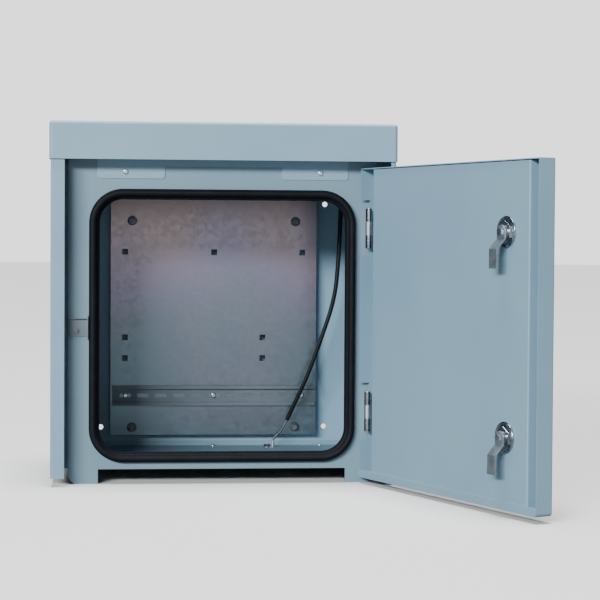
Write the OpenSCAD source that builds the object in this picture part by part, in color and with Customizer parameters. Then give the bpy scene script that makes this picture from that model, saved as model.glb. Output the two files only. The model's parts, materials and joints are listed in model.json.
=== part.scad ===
// Roadside utility cabinet: sheet steel body, double-skinned hinged door, canopy, mounting plate with rail.
// X runs to the right, Y runs into the cabinet and Z runs up.
// The origin is on the ground, at the middle of the body's footprint.

/* [Body] */
// Width over the side walls
body_width = 550; // [500:1:700]
// Depth from the front flanges to the outside of the back wall
body_depth = 340; // [300:1:420]
// Height of the side walls' top edge above the ground
body_height = 560; // [540:1:720]
// Sheet thickness of walls, door and canopy
sheet = 1.5; // [1:0.1:1.8]
// Outside bend radius of folded edges
bend_radius = 3; // [2.5:0.1:4]
// Gap between the ground and the bottom edge of the side walls
wall_lift = 13.5; // [6:0.5:20]
// Width of the front flange on the lock side
lock_flange = 22; // [18:1:24]
// Width of the front flange on the hinge side
hinge_flange = 8; // [4:0.5:9]
// Gap between the ground and the bars between the feet
foot_height = 23.5; // [18:0.5:26]
// Width of each foot
foot_width = 48; // [30:1:60]
// Radius of each foot's outer corner
foot_outer_radius = 16; // [4:1:20]
// Radius of each foot's inner corner
foot_inner_radius = 3; // [1:0.5:6]
// Diameter of the wall fixing holes in the back
wall_hole = 9; // [5:0.5:14]
// Wall fixing holes, distance across
wall_hole_across = 396; // [300:1:430]
// Wall fixing holes, distance up
wall_hole_up = 396; // [300:1:410]
// Height of the lower wall fixing holes
wall_hole_base = 62; // [50:1:90]

/* [Front frame] */
// Thickness of the front frame's sheet
frame_sheet = 2; // [1.5:0.1:2.5]
// Distance of the frame's face behind the front flanges
frame_recess = 40; // [40:0.5:46]
// Width of the frame's face
frame_width = 496; // [480:1:496]
// Depth of the frame's side folds
frame_fold = 18; // [10:1:30]
// Width of the door opening
opening_width = 404; // [300:1:406]
// Distance of the opening's upper edge below the walls' top edge
opening_drop = 98.5; // [94:0.5:140]
// Height of the opening's lower edge above the ground
opening_base = 47.5; // [44:0.5:60]
// Corner radius of the opening
opening_radius = 42; // [20:1:60]

/* [Gasket] */
// How far the gasket's nose stands into the opening
gasket_nose = 4; // [2:0.5:5]
// How far the gasket's front lip covers the frame
gasket_cover = 13; // [11:0.5:14]
// Wall of the gasket's grip
gasket_wall = 2.8; // [2:0.1:3.5]
// Radius of the sealing bulb
bulb_radius = 5.5; // [3:0.1:6]
// Clearance between the bulb and the closed door
bulb_clearance = 0.5; // [0.4:0.1:2]

/* [Floor and top] */
// Height of the floor's upper face
floor_level = 29; // [26:0.5:34]
// Height of the floor's turned-up edges
floor_edge = 8; // [4:1:9]
// Distance of the top panel's underside below the walls' top edge
top_drop = 12; // [10:1:30]
// Gland plate, across
gland_across = 240; // [120:1:300]
// Gland plate, front to back
gland_deep = 110; // [80:1:140]
// Overlap of the gland plate on the floor
gland_overlap = 15; // [10:1:20]
// Thickness of the gland plate
gland_sheet = 2; // [1.5:0.1:3]

/* [Canopy] */
// Gap between the canopy and each side wall
canopy_gap = 0.5; // [0.3:0.1:3]
// How far the canopy's lip stands in front of the flanges
canopy_reach = 4; // [3:0.5:10]
// Distance of the canopy's lower edge below the walls' top edge
canopy_drop = 40; // [30:1:44]
// Height of the canopy's front lip
canopy_lip = 60; // [52:1:80]
// Fall of the roof from front to back
canopy_fall = 10; // [0:1:12]
// Width of each canopy tab
tab_width = 108; // [60:1:120]
// Distance of the tabs' lower edge below the walls' top edge
tab_drop = 69; // [64:1:72]
// Distance between the two tab screws
tab_screw_pitch = 314; // [260:1:320]

/* [Door] */
// Width of the door
door_width = 497; // [470:1:497]
// Distance of the door's upper edge below the walls' top edge
door_drop = 50; // [46:1:70]
// Height of the door's lower edge above the ground
door_base = 10; // [6:1:14]
// Depth of the door's returns
door_depth = 28; // [26:0.5:28]
// Step from the returns' edge down to the inner pan
pan_step = 2; // [1:0.1:3]
// Groove between the hinge-side return and the inner pan
pan_groove_hinge = 36; // [35:0.5:44]
// Groove between the free return and the inner pan
pan_groove_free = 25.5; // [15:0.5:30]
// Height of the lip that closes the grooves at the bottom
door_lip = 13; // [8:0.5:20]
// Angle that the door stands open at in the modelled pose
door_angle = 112.25; // [0:0.25:116]

/* [Hinges] */
// Distance of the hinge axis from the door's edge
axis_inset = 13; // [10:0.1:13]
// Distance of the hinge axis behind the door's outer face
axis_depth = 19.8; // [19:0.1:20]
// Distance of the hinge axis from the body's middle
axis_offset = 234; // [230:0.5:234]
// Height of the lower hinge's middle
hinge_low = 117; // [90:1:180]
// Distance between the two hinges
hinge_pitch = 296; // [200:1:320]
// Outside diameter of the knuckles
knuckle_diameter = 11; // [10:0.1:11.5]
// Length of each frame knuckle
frame_knuckle = 20; // [14:1:24]
// Length of the door knuckle
door_knuckle = 22; // [14:1:26]
// Gap between neighbouring knuckles
knuckle_gap = 0.4; // [0.3:0.1:1]
// Diameter of the hinge pin
pin_diameter = 6; // [5:0.1:6]
// Radial running clearance of pins and lock cores
running_fit = 0.05; // [0.02:0.01:0.1]
// Thickness of the hinge leaves
leaf_thickness = 2.5; // [2:0.1:3]
// Height of the hinge cut-outs in the door's return
notch_height = 92; // [70:1:100]

/* [Locks] */
// Distance of the lock axis from the door's free edge
lock_inset = 80.5; // [70:0.5:90]
// Height of the lower lock
lock_low = 114; // [90:1:180]
// Distance between the two locks
lock_pitch = 293; // [200:1:320]
// Diameter of the lock's inner collar
collar_diameter = 46; // [34:1:50]
// Thickness of the lock's inner collar
collar_thickness = 5; // [3:0.5:7]
// Diameter of the lock housing's neck
neck_diameter = 22; // [20:0.5:24]
// Diameter of the outside escutcheon
escutcheon_diameter = 32; // [28:1:40]
// Diameter of the turning core
core_diameter = 14; // [12:0.5:15]
// Length of the cam from the lock axis to its tip
cam_length = 52; // [48:1:56]
// Width of the cam
cam_width = 20; // [14:1:22]
// Thickness of the cam
cam_thickness = 3; // [2:0.5:4]
// How far the cam is cranked towards the inside
cam_crank = 13; // [12:0.5:16]

/* [Mounting plate] */
// Width of the mounting plate
plate_width = 362; // [330:1:380]
// Height of the mounting plate
plate_height = 416; // [395:1:440]
// Height of the plate's lower edge above the ground
plate_base = 50; // [46:1:58]
// Thickness of the mounting plate
plate_sheet = 2; // [1.5:0.1:3]
// Gap between the plate and the back wall
plate_gap = 20.5; // [15:0.5:40]
// Plate studs, distance across
stud_across = 287; // [240:1:320]
// Plate studs, distance up
stud_up = 363; // [300:1:370]
// Height of the lower studs above the plate's lower edge
stud_margin = 13.5; // [12:0.5:20]
// Diameter of the plate studs
stud_diameter = 8; // [6:0.5:8]
// Side of the square holes
square_hole = 10; // [6:0.5:12]

/* [Rail] */
// Length of the top-hat rail
rail_length = 356; // [340:1:360]
// Height of the top-hat rail
rail_height = 35; // [32:1:38]
// Depth of the top-hat rail
rail_depth = 7.5; // [5:0.5:15]
// Thickness of the top-hat rail
rail_sheet = 1; // [0.8:0.1:1.5]
// Height of the rail's middle above the ground
rail_level = 119.5; // [110:0.5:150]
// Distance between neighbouring rail slots
slot_pitch = 31; // [28:0.5:33]
// Length of each rail slot
slot_length = 21; // [14:0.5:24]
// Height of each rail slot
slot_height = 7; // [5:0.5:8]

/* [Centre bracket] */
// Width of the centre bracket
bracket_width = 31; // [24:1:33]
// Height of the centre bracket
bracket_height = 30; // [20:1:36]
// Depth of the centre bracket
bracket_depth = 7; // [4:0.5:7]
// Height of the bracket's middle above the ground
bracket_level = 252; // [200:1:300]

/* [Earth lead] */
// Diameter of the lead's sheath
sheath_diameter = 7.5; // [4:0.5:9]
// Diameter of the bare core
core_wire = 3.5; // [1.5:0.5:4]

/* [Hidden] */
$fn = 48;
e = 0.01;

half_width = body_width / 2;
inner_half = half_width - sheet;
front = -body_depth / 2;
back_inner = body_depth / 2 - sheet;
frame_face = front + frame_recess;
frame_back = frame_face + frame_sheet;
half_frame = frame_width / 2;
opening_height = body_height - opening_drop - opening_base;
opening_level = opening_base + opening_height / 2;
top_level = body_height - top_drop;

// door coordinates: u from the hinge axis towards the hinge side, v from the axis into the cabinet
hinge_edge = axis_inset;
free_edge = axis_inset - door_width;
door_outer = -axis_depth;
door_inside = door_outer + sheet;
return_edge = door_outer + door_depth;
pan_face = return_edge - pan_step;
pan_hinge_edge = hinge_edge - pan_groove_hinge;
pan_free_edge = free_edge + pan_groove_free;
door_height = body_height - door_drop - door_base;
door_top = door_base + door_height;
axis_y = front + axis_depth;
axis_to_frame = frame_recess - axis_depth;

hinge_levels = [hinge_low + hinge_pitch, hinge_low];
knuckle_radius = knuckle_diameter / 2;
barrel_length = 2 * frame_knuckle + door_knuckle + 2 * knuckle_gap;
leaf_foot = 17;
leaf_slot_gap = 0.5;
leaf_slot_width = leaf_thickness + 2 * leaf_slot_gap;
leaf_slot_length = barrel_length + 2 * leaf_slot_gap;
notch_reach = 17.5;

lock_u = free_edge + lock_inset;
lock_levels = [lock_low + lock_pitch, lock_low];
escutcheon_height = 3;
escutcheon_lip = 1.5;
lock_end_play = 0.3;
key_hole = core_diameter - 2;
key_square = core_diameter / 2;
key_depth = 10;
collar_face = pan_face + collar_thickness;
cam_start = collar_face + 3.3;
cam_hub_end = 10;
cam_crank_end = 24;
core_square = 8;
cam_screw_shank = 4.2;
cam_screw_reach = 8;

plate_back = back_inner - plate_gap;
plate_face = plate_back - plate_sheet;
stud_levels = [plate_base + stud_margin, plate_base + stud_margin + stud_up];
nut_height = 6.5;
rail_front = plate_face - rail_depth;
rail_lip = 5;
rail_screw_head = 9;
slots_each_side = floor((rail_length / 2 - slot_length / 2 - 4) / slot_pitch);

closed_pan = front + door_depth - pan_step;
bulb_centre = closed_pan + bulb_clearance + bulb_radius;

bracket_left = -half_frame + 1;
rivet_shank = 4.2;
rivet_head = 8;
canopy_base = body_height - canopy_drop;
tab_base = body_height - tab_drop;
canopy_half = half_width + canopy_gap + sheet;
canopy_radius = bend_radius + sheet;
canopy_front = front - canopy_reach;
canopy_back = body_depth / 2 + sheet;
canopy_top = canopy_base + canopy_lip;
screw_head = 9;
screw_head_height = 2.5;
screw_shank = 5;
screw_hole = screw_shank + 0.4;
hinge_screw_shank = 4;
hinge_screw_hole = hinge_screw_shank + 0.4;
hinge_screw_head = 8;
bolt_head_across = 10;
bolt_head_height = 4;
bolt_length = 12;
tab_screw_level = tab_base + 11;
canopy_screw_level = canopy_base + 14;

gland_y = front + 150;
floor_screw_y = back_inner - 12;
floor_screw_x = 190;
gland_screw_inset = 7;
gland_screw_x = gland_across / 2 - gland_screw_inset;
gland_screw_y = gland_deep / 2 - gland_screw_inset;

// the lead hangs from the top panel's stud and is bolted to the floor at its lower end
lead_stud = [208, 92, top_level];
upper_lug_reach = 11;
upper_lug_barrel = sheath_diameter + 3;
lower_lug_reach = 10;
lower_lug_barrel = core_wire + 2;
lug_plate = 1.2;
stud_hole = 6.4;
lug_drop = 24;
floor_stud = [94, 131, floor_level];
lug_rise = 11;
sheath_path = [
    [219, 92, 524], [219, 92, 505], [218.6, 92, 486], [218, 92, 467], [217.4, 92, 448], [216.8, 92, 429],
    [216.2, 92, 410], [215.4, 92, 391], [214.4, 92.5, 372], [213.2, 93, 353], [211.8, 93.5, 334],
    [210, 94, 315], [207, 95, 296], [202.6, 96, 277], [197, 97, 258], [190.8, 98.5, 239],
    [184.4, 100, 220], [178, 102, 201], [171.4, 104, 182], [164.4, 106.5, 163], [156.8, 109, 144],
    [148.6, 112, 125], [141, 115, 108], [134, 118, 92], [128, 121, 78]
];
core_path = [
    [128, 121, 78], [123.5, 123.25, 67.5], [117, 126.4, 57.5], [110, 129.4, 49], [104.4, 130.8, 42]
];

paint = [0.66, 0.73, 0.78];
paint_inside = [0.62, 0.69, 0.74];
galvanised = [0.62, 0.63, 0.66];
zinc = [0.75, 0.76, 0.78];
black_rubber = [0.09, 0.1, 0.13];
lock_metal = [0.5, 0.51, 0.53];
lead_black = [0.07, 0.08, 0.09];
copper = [0.2, 0.19, 0.18];

// a rectangle with round corners
module rounded_rectangle(w, h, r) {
    square([w - 2 * r, h], center = true);
    square([w, h - 2 * r], center = true);
    for (x = [-1, 1], y = [-1, 1])
        translate([x * (w / 2 - r), y * (h / 2 - r)]) circle(r);
}

// stands a shape drawn across X and Z upright, with its front face at y and t thick towards the back
module upright(y, t) {
    translate([0, y + t, 0]) rotate([90, 0, 0]) linear_extrude(t) children();
}

// sweeps a section around a rectangle with round corners; the section's x points outwards
module swept_frame(w, h, r) {
    for (q = [0:3]) {
        a = q % 2 == 0 ? w / 2 : h / 2;
        b = q % 2 == 0 ? h / 2 : w / 2;
        rotate(90 * q) {
            translate([a, b - r, 0]) rotate([90, 0, 0]) linear_extrude(2 * (b - r)) children();
            translate([a - r, b - r, 0]) rotate_extrude(angle = 90) translate([r, 0]) children();
        }
    }
}

// a cylinder along Y that starts at y and runs l towards the back
module rod_y(d, y, l) {
    translate([0, y, 0]) rotate([-90, 0, 0]) cylinder(d = d, h = l);
}

// a pan-head screw along Y, its head in front of the face at y
module pan_screw(y, grip, head = screw_head, shank = screw_shank) {
    difference() {
        union() {
            rod_y(head, y - screw_head_height, screw_head_height);
            rod_y(shank, y - e, grip + e);
        }
        translate([0, y - screw_head_height + 0.5, 0]) {
            cube([head * 0.55, 1.2, 1], center = true);
            cube([1, 1.2, head * 0.55], center = true);
        }
    }
}

// turns what is drawn in door coordinates, with the axis at the origin, to its place on the open door
module on_door(angle = door_angle) {
    translate([axis_offset, axis_y, 0]) rotate(angle) children();
}

// a foot drawn across X and Z, from its inner corner outwards
module foot_outline() {
    top = foot_height + 10;
    square_top = foot_outer_radius;
    translate([half_frame - foot_width, 0]) {
        translate([0, square_top]) square([foot_width, top - square_top]);
        translate([foot_inner_radius, 0]) square([foot_width - foot_inner_radius - foot_outer_radius, top]);
        translate([0, foot_inner_radius]) square([foot_inner_radius + 1, top - foot_inner_radius]);
        translate([foot_inner_radius, foot_inner_radius]) circle(foot_inner_radius);
        translate([foot_width - foot_outer_radius, foot_outer_radius]) circle(foot_outer_radius);
    }
}

module feet_outline() {
    for (s = [0, 1]) mirror([s, 0]) foot_outline();
}

// left wall, back wall and right wall folded from one sheet, with the two front flanges and the rear feet
module body_shell() {
    color(paint)
    difference() {
        union() {
            difference() {
                translate([0, 0, wall_lift]) linear_extrude(body_height - wall_lift) body_plan();
                translate([-half_frame, back_inner - e, 0]) cube([frame_width, sheet + 1, foot_height]);
            }
            upright(back_inner, sheet) feet_outline();
        }
        for (x = [-1, 1], z = [0, wall_hole_up])
            translate([x * wall_hole_across / 2, 0, wall_hole_base + z]) rod_y(wall_hole, back_inner - 5, 10);
    }
}

// keeps only what lies within the walls' inner faces and their round corners
module inside_body() {
    intersection() {
        children();
        linear_extrude(body_height)
            rounded_rectangle(2 * inner_half, body_depth - 2 * sheet, bend_radius - sheet);
    }
}

module body_plan() {
    difference() {
        rounded_rectangle(body_width, body_depth, bend_radius);
        rounded_rectangle(2 * inner_half, body_depth - 2 * sheet, bend_radius - sheet);
        translate([-half_width + lock_flange, front - 1])
            square([body_width - lock_flange - hinge_flange, 2 * sheet + 1]);
    }
}

// the frame round the door opening, with its feet, folded back at both sides and welded to the walls
module front_frame() {
    color(paint_inside)
    difference() {
        union() {
            upright(frame_face, frame_sheet) {
                translate([-half_frame, foot_height]) square([frame_width, top_level - foot_height]);
                feet_outline();
            }
            for (s = [0, 1]) mirror([s, 0, 0]) {
                translate([half_frame - frame_sheet, frame_face, foot_height])
                    cube([frame_sheet, frame_fold, top_level - foot_height]);
                translate([half_frame - frame_sheet, frame_face + frame_fold - frame_sheet, foot_height])
                    cube([inner_half - half_frame + frame_sheet, frame_sheet, top_level - foot_height]);
            }
        }
        translate([0, 0, opening_level]) upright(frame_face - 1, frame_sheet + 2)
            rounded_rectangle(opening_width, opening_height, opening_radius);
        for (z = hinge_levels)
            translate([axis_offset - leaf_slot_width / 2, frame_face - 1, z - leaf_slot_length / 2])
                cube([leaf_slot_width, frame_sheet + 2, leaf_slot_length]);
    }
}

// the floor tray, notched round the frame's side folds, with its edges turned up
module floor_outline() {
    fold_end = frame_face + frame_fold;
    translate([-inner_half, fold_end]) square([2 * inner_half, back_inner - fold_end]);
    translate([-half_frame + frame_sheet, frame_back])
        square([frame_width - 2 * frame_sheet, fold_end - frame_back + 1]);
}

module base_floor() {
    edge = floor_edge + sheet;
    color(paint_inside)
    difference() {
        inside_body() union() {
            translate([0, 0, floor_level - sheet]) linear_extrude(sheet) floor_outline();
            for (y = [frame_back, back_inner - sheet])
                translate([-half_frame + frame_sheet, y, floor_level - sheet])
                    cube([frame_width - 2 * frame_sheet, sheet, edge]);
            for (x = [-inner_half, inner_half - sheet])
                translate([x, frame_face + frame_fold, floor_level - sheet])
                    cube([sheet, back_inner - frame_face - frame_fold, edge]);
        }
        translate([0, gland_y, floor_level - sheet - 1]) linear_extrude(sheet + 2)
            rounded_rectangle(gland_across - 2 * gland_overlap, gland_deep - 2 * gland_overlap, 6);
        gland_screw_places() cylinder(d = screw_hole, h = 20, center = true);
        floor_screw_places() cylinder(d = screw_hole, h = 20, center = true);
        translate([floor_stud[0], floor_stud[1], floor_level]) cylinder(d = stud_hole, h = 20, center = true);
    }
}

module floor_screw_places() {
    for (x = [-floor_screw_x, 0, floor_screw_x]) translate([x, floor_screw_y, floor_level]) children();
}

module gland_screw_places() {
    for (x = [-1, 0, 1], y = [-1, 1])
        translate([x * gland_screw_x, gland_y + y * gland_screw_y, floor_level]) children();
}

// a pan-head screw along Z, its head on the face at z = 0
module floor_screw() {
    rotate([-90, 0, 0]) pan_screw(0, 10);
}

module floor_screws() {
    color(zinc) floor_screw_places() floor_screw();
}

module gland_plate() {
    color(galvanised) difference() {
        translate([0, gland_y, floor_level]) linear_extrude(gland_sheet)
            rounded_rectangle(gland_across, gland_deep, 8);
        gland_screw_places() cylinder(d = screw_hole, h = 20, center = true);
    }
}

module gland_plate_screws() {
    color(zinc) gland_screw_places() translate([0, 0, gland_sheet]) floor_screw();
}

// the inner top sheet, on the frame's top edge and between the walls
module top_panel() {
    color(paint_inside) difference() {
        inside_body() translate([-inner_half, frame_face, top_level])
            cube([2 * inner_half, back_inner - frame_face, sheet]);
        translate(lead_stud) cylinder(d = stud_hole, h = 20, center = true);
    }
}

// the roof's outside, or its inside where t is the sheet thickness
module canopy_body(t) {
    depth = canopy_back - canopy_front;
    w = 2 * canopy_half;
    difference() {
        translate([0, (canopy_front + canopy_back) / 2, canopy_base - (t > 0 ? 1 : 0)])
            linear_extrude(canopy_lip + 20)
                rounded_rectangle(w - 2 * t, depth - 2 * t, canopy_radius - t);
        translate([0, canopy_front, canopy_top - t]) rotate([-atan(canopy_fall / depth), 0, 0])
            translate([-w, -50, 0]) cube([2 * w, depth + 100, 100]);
    }
}

module canopy() {
    color(paint) difference() {
        canopy_body(0);
        canopy_body(sheet);
        for (x = [-1, 1])
            translate([x * tab_screw_pitch / 2, 0, canopy_screw_level])
                rod_y(screw_hole, canopy_back - 5, 10);
    }
}

// the angle behind the canopy's lip, with two tabs that are screwed to the frame
module canopy_fixing_strip() {
    strip_half = opening_width / 2;
    lip_inner = canopy_front + sheet;
    strip_level = canopy_base + 3;
    tab_height = 40;
    tab_middle = tab_base + tab_height / 2;
    tab_radius = 5;
    color(paint) difference() {
        union() {
            translate([-strip_half, lip_inner, strip_level])
                cube([2 * strip_half, frame_face - lip_inner, sheet]);
            upright(frame_face - sheet, sheet) {
                translate([-strip_half, tab_middle]) square([2 * strip_half, strip_level - tab_middle + e]);
                for (s = [0, 1]) mirror([s, 0]) translate([strip_half - tab_width / 2, tab_middle])
                    rounded_rectangle(tab_width, tab_height, tab_radius);
            }
        }
        for (x = [-1, 1])
            translate([x * tab_screw_pitch / 2, 0, tab_screw_level])
                rod_y(screw_hole, frame_face - 5, 10);
    }
}

module canopy_screws() {
    color(zinc) for (x = [-1, 1]) {
        translate([x * tab_screw_pitch / 2, 0, tab_screw_level]) pan_screw(frame_face - sheet, sheet - e);
        translate([x * tab_screw_pitch / 2, 0, canopy_screw_level]) mirror([0, 1, 0])
            pan_screw(-canopy_back, sheet - e);
    }
}

// the edge trim round the opening: a grip over the sheet's edge and a bulb on its front lip
module gasket_section() {
    front_y = gasket_wall;
    back_y = -frame_sheet - gasket_wall;
    neck = bulb_radius * 1.2;
    translate([-gasket_nose, back_y]) square([gasket_nose, front_y - back_y]);
    square([gasket_cover, gasket_wall]);
    translate([0, back_y]) square([gasket_cover - 4, gasket_wall]);
    translate([(gasket_cover - neck) / 2, 0]) square([neck, frame_face - bulb_centre]);
    translate([gasket_cover / 2, frame_face - bulb_centre]) circle(bulb_radius);
}

module opening_gasket() {
    color(black_rubber) translate([0, frame_face, opening_level]) rotate([90, 0, 0])
        swept_frame(opening_width, opening_height, opening_radius) gasket_section();
}

// all four plate fixings, as seen from the front
module stud_places() {
    for (x = [-1, 1], z = stud_levels) translate([x * stud_across / 2, 0, z]) children();
}

module mounting_plate() {
    middle = plate_base + plate_height / 2;
    upper_row = 372;
    lower_rows = [221.8, 185.3];
    outer_column = 156;
    inner_column = 86;
    color(galvanised) difference() {
        translate([0, 0, middle]) upright(plate_face, plate_sheet)
            rounded_rectangle(plate_width, plate_height, 4);
        stud_places() rod_y(stud_diameter + 0.6, plate_face - 2, plate_sheet + 4);
        for (x = [-outer_column, 0, outer_column]) plate_square(x, upper_row);
        for (x = [-outer_column, inner_column], z = lower_rows) plate_square(x, z);
        rail_screw_places() rod_y(screw_hole, plate_face - 2, plate_sheet + 4);
    }
}

module plate_square(x, z) {
    translate([x, plate_face + plate_sheet / 2, z])
        cube([square_hole, plate_sheet + 2, square_hole], center = true);
}

module plate_studs() {
    stand_out = 5;
    long = back_inner - plate_face + nut_height + stand_out;
    color(zinc) stud_places() rod_y(stud_diameter, back_inner - long, long);
}

module plate_spacers() {
    color(zinc) stud_places() difference() {
        rod_y(stud_diameter + 8, plate_back, plate_gap);
        rod_y(stud_diameter + 0.4, plate_back - 1, plate_gap + 2);
    }
}

// flange nuts that hold the plate on its studs
module plate_nuts() {
    across_flats = stud_diameter * 1.6;
    flange = stud_diameter * 2.1;
    color(zinc) stud_places() difference() {
        union() {
            translate([0, plate_face - nut_height, 0]) rotate([-90, 30, 0])
                cylinder(d = across_flats / cos(30), h = nut_height, $fn = 6);
            rod_y(flange, plate_face - 1.6, 1.6);
        }
        rod_y(stud_diameter + 0.1, plate_face - nut_height - 1, nut_height + 2);
    }
}

module rail_screw_places() {
    for (k = [-slots_each_side, 0, slots_each_side]) translate([k * slot_pitch, 0, rail_level]) children();
}

module din_rail() {
    web = rail_height - 2 * rail_lip;
    color(galvanised) difference() {
        union() {
            translate([-rail_length / 2, plate_face - rail_sheet, rail_level - web / 2])
                cube([rail_length, rail_sheet, web]);
            for (s = [0, 1]) translate([0, 0, rail_level]) mirror([0, 0, s]) {
                translate([-rail_length / 2, rail_front, web / 2 - rail_sheet])
                    cube([rail_length, rail_depth, rail_sheet]);
                translate([-rail_length / 2, rail_front, web / 2 - rail_sheet])
                    cube([rail_length, rail_sheet, rail_lip + rail_sheet]);
            }
        }
        for (k = [-slots_each_side:slots_each_side]) translate([k * slot_pitch, 0, rail_level])
            upright(plate_face - rail_sheet - 1, rail_sheet + 2) rail_slot();
    }
}

module rail_slot() {
    straight = slot_length - slot_height;
    square([straight, slot_height], center = true);
    for (x = [-1, 1]) translate([x * straight / 2, 0]) circle(d = slot_height);
}

module din_rail_screws() {
    grip = rail_sheet + plate_sheet + 3;
    color(zinc) rail_screw_places() pan_screw(plate_face - rail_sheet, grip, rail_screw_head);
}

// a small folded bracket on the lock side of the frame, half way between the locks
module centre_bracket() {
    tall = 4;
    color(zinc) difference() {
        union() {
            translate([bracket_left, frame_face - sheet, bracket_level - bracket_height / 2])
                cube([bracket_width, sheet, bracket_height]);
            translate([bracket_left + bracket_width - sheet, frame_face - bracket_depth,
                       bracket_level - bracket_height / 2 - tall])
                cube([sheet, bracket_depth, bracket_height + 2 * tall]);
            translate([bracket_left, frame_face - bracket_depth, bracket_level + bracket_height / 2 - sheet])
                cube([bracket_width, bracket_depth, sheet]);
        }
        bracket_rivet_place() rod_y(rivet_shank + 0.2, frame_face - 10, 20);
    }
}

module bracket_rivet_place() {
    translate([bracket_left + 13, 0, bracket_level - 6]) children();
}

module centre_bracket_rivet() {
    head_height = 1.4;
    color(lock_metal) bracket_rivet_place() {
        rod_y(rivet_shank, frame_face - sheet - e, sheet);
        rod_y(rivet_head, frame_face - sheet - head_height, head_height);
    }
}

// a knuckle with its bore, along Z, from z to z + l
module knuckle(z, l) {
    translate([0, 0, z]) difference() {
        cylinder(r = knuckle_radius, h = l);
        translate([0, 0, -1]) cylinder(d = pin_diameter + 2 * running_fit, h = l + 2);
    }
}

// the leaf with two knuckles: its web passes through the frame's slot and its foot lies behind the frame
module hinge_frame_leaf(level) {
    half_barrel = barrel_length / 2;
    web_start = knuckle_radius + 1;
    foot_back = axis_to_frame + frame_sheet + leaf_thickness;
    color(zinc) translate([axis_offset, axis_y, level]) {
        difference() {
            union() {
                knuckle(half_barrel - frame_knuckle, frame_knuckle);
                knuckle(-half_barrel, frame_knuckle);
                for (z = [-half_barrel, half_barrel - frame_knuckle])
                    translate([-leaf_thickness / 2, knuckle_radius - 1.5, z])
                        cube([leaf_thickness, 4, frame_knuckle]);
                translate([-leaf_thickness / 2, web_start, -half_barrel])
                    cube([leaf_thickness, foot_back - web_start, barrel_length]);
                translate([-leaf_foot, axis_to_frame + frame_sheet, -half_barrel])
                    cube([leaf_foot + leaf_thickness / 2, leaf_thickness, barrel_length]);
            }
            hinge_foot_places() rod_y(hinge_screw_hole, axis_to_frame, 20);
        }
    }
}

// screw places on a leaf's foot, from the hinge's own middle
module hinge_foot_places() {
    for (z = [-1, 1]) translate([-9, 0, z * 18]) children();
}

module hinge_frame_screws() {
    foot_back = axis_to_frame + frame_sheet + leaf_thickness;
    color(zinc) for (level = hinge_levels) translate([axis_offset, axis_y, level])
        hinge_foot_places() mirror([0, 1, 0])
            pan_screw(-foot_back, leaf_thickness - e, hinge_screw_head, hinge_screw_shank);
}

module hinge_pin(level) {
    head = 1.5;
    translate([axis_offset, axis_y, level]) color(zinc) {
        translate([0, 0, -barrel_length / 2 - 1]) cylinder(d = pin_diameter, h = barrel_length + 1);
        translate([0, 0, barrel_length / 2]) cylinder(d = pin_diameter + 3, h = head);
    }
}

// the leaf with the middle knuckle, fastened to the inside of the door's outer skin
module hinge_door_leaf(level) {
    leaf_height = 2 * door_knuckle;
    web_length = -door_inside - knuckle_radius + 1.5;
    color(zinc) on_door() translate([0, 0, level]) difference() {
        union() {
            knuckle(-door_knuckle / 2, door_knuckle);
            translate([-leaf_thickness / 2, door_inside, -door_knuckle / 2])
                cube([leaf_thickness, web_length, door_knuckle]);
            translate([-leaf_foot, door_inside, -leaf_height / 2])
                cube([leaf_foot + leaf_thickness / 2, leaf_thickness, leaf_height]);
        }
        hinge_foot_places() rod_y(hinge_screw_hole, door_inside - 1, 10);
    }
}

module hinge_door_screws() {
    color(zinc) for (level = hinge_levels) on_door() translate([0, 0, level])
        hinge_foot_places() mirror([0, 1, 0])
            pan_screw(-door_inside - leaf_thickness, leaf_thickness - e, hinge_screw_head, hinge_screw_shank);
}

// the outer tray: the skin with returns all round, cut out for the hinges, and a lip along the bottom
module door_skin() {
    long = door_width;
    middle_u = (hinge_edge + free_edge) / 2;
    color(paint) on_door() difference() {
        union() {
            translate([0, 0, door_base]) linear_extrude(door_height) difference() {
                door_section(0);
                door_section(sheet);
            }
            for (z = [door_base, door_top - sheet])
                translate([0, 0, z]) linear_extrude(sheet) door_section(0);
            translate([free_edge + e, return_edge - sheet, door_base])
                cube([long - 2 * e, sheet, door_lip]);
        }
        for (level = hinge_levels)
            translate([hinge_edge - sheet - 1, return_edge - notch_reach, level - notch_height / 2])
                cube([sheet + 2, notch_reach + 1, notch_height]);
        lock_places() rod_y(neck_diameter + 0.4, door_outer - 5, 10);
    }
}

// the tray's plan, or its inside where t is the sheet thickness
module door_section(t) {
    w = door_width - 2 * t;
    r = bend_radius - t;
    translate([free_edge + t, door_outer + t]) {
        translate([0, r]) square([w, door_depth - t - r + (t > 0 ? 1 : 0)]);
        translate([r, 0]) square([w - 2 * r, door_depth / 2]);
        for (x = [r, w - r]) translate([x, r]) circle(r);
    }
}

// the raised inner pan, folded down to the skin on both sides
module door_inner_pan() {
    w = pan_hinge_edge - pan_free_edge;
    base = door_base + sheet;
    long = door_height - 2 * sheet;
    color(paint) on_door() difference() {
        translate([0, 0, base]) union() {
            translate([pan_free_edge, pan_face - sheet, 0]) cube([w, sheet, long]);
            for (u = [pan_free_edge, pan_hinge_edge - sheet])
                translate([u, door_inside, 0]) cube([sheet, pan_face - door_inside, long]);
        }
        lock_places() rod_y(neck_diameter + 0.4, pan_face - 5, 10);
    }
}

module lock_places() {
    for (z = lock_levels) translate([lock_u, 0, z]) children();
}

// the fixed lock body: escutcheon outside, neck through both skins
module lock_housing(level) {
    neck_end = collar_face + 3;
    color(lock_metal) on_door() translate([lock_u, 0, level]) difference() {
        union() {
            rod_y(escutcheon_diameter, door_outer - escutcheon_height, escutcheon_height);
            rod_y(neck_diameter, door_outer - e, neck_end - door_outer);
        }
        rod_y(core_diameter + 2 * running_fit, door_outer - escutcheon_height + escutcheon_lip, 60);
        rod_y(key_hole, door_outer - escutcheon_height - 1, 10);
    }
}

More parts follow.
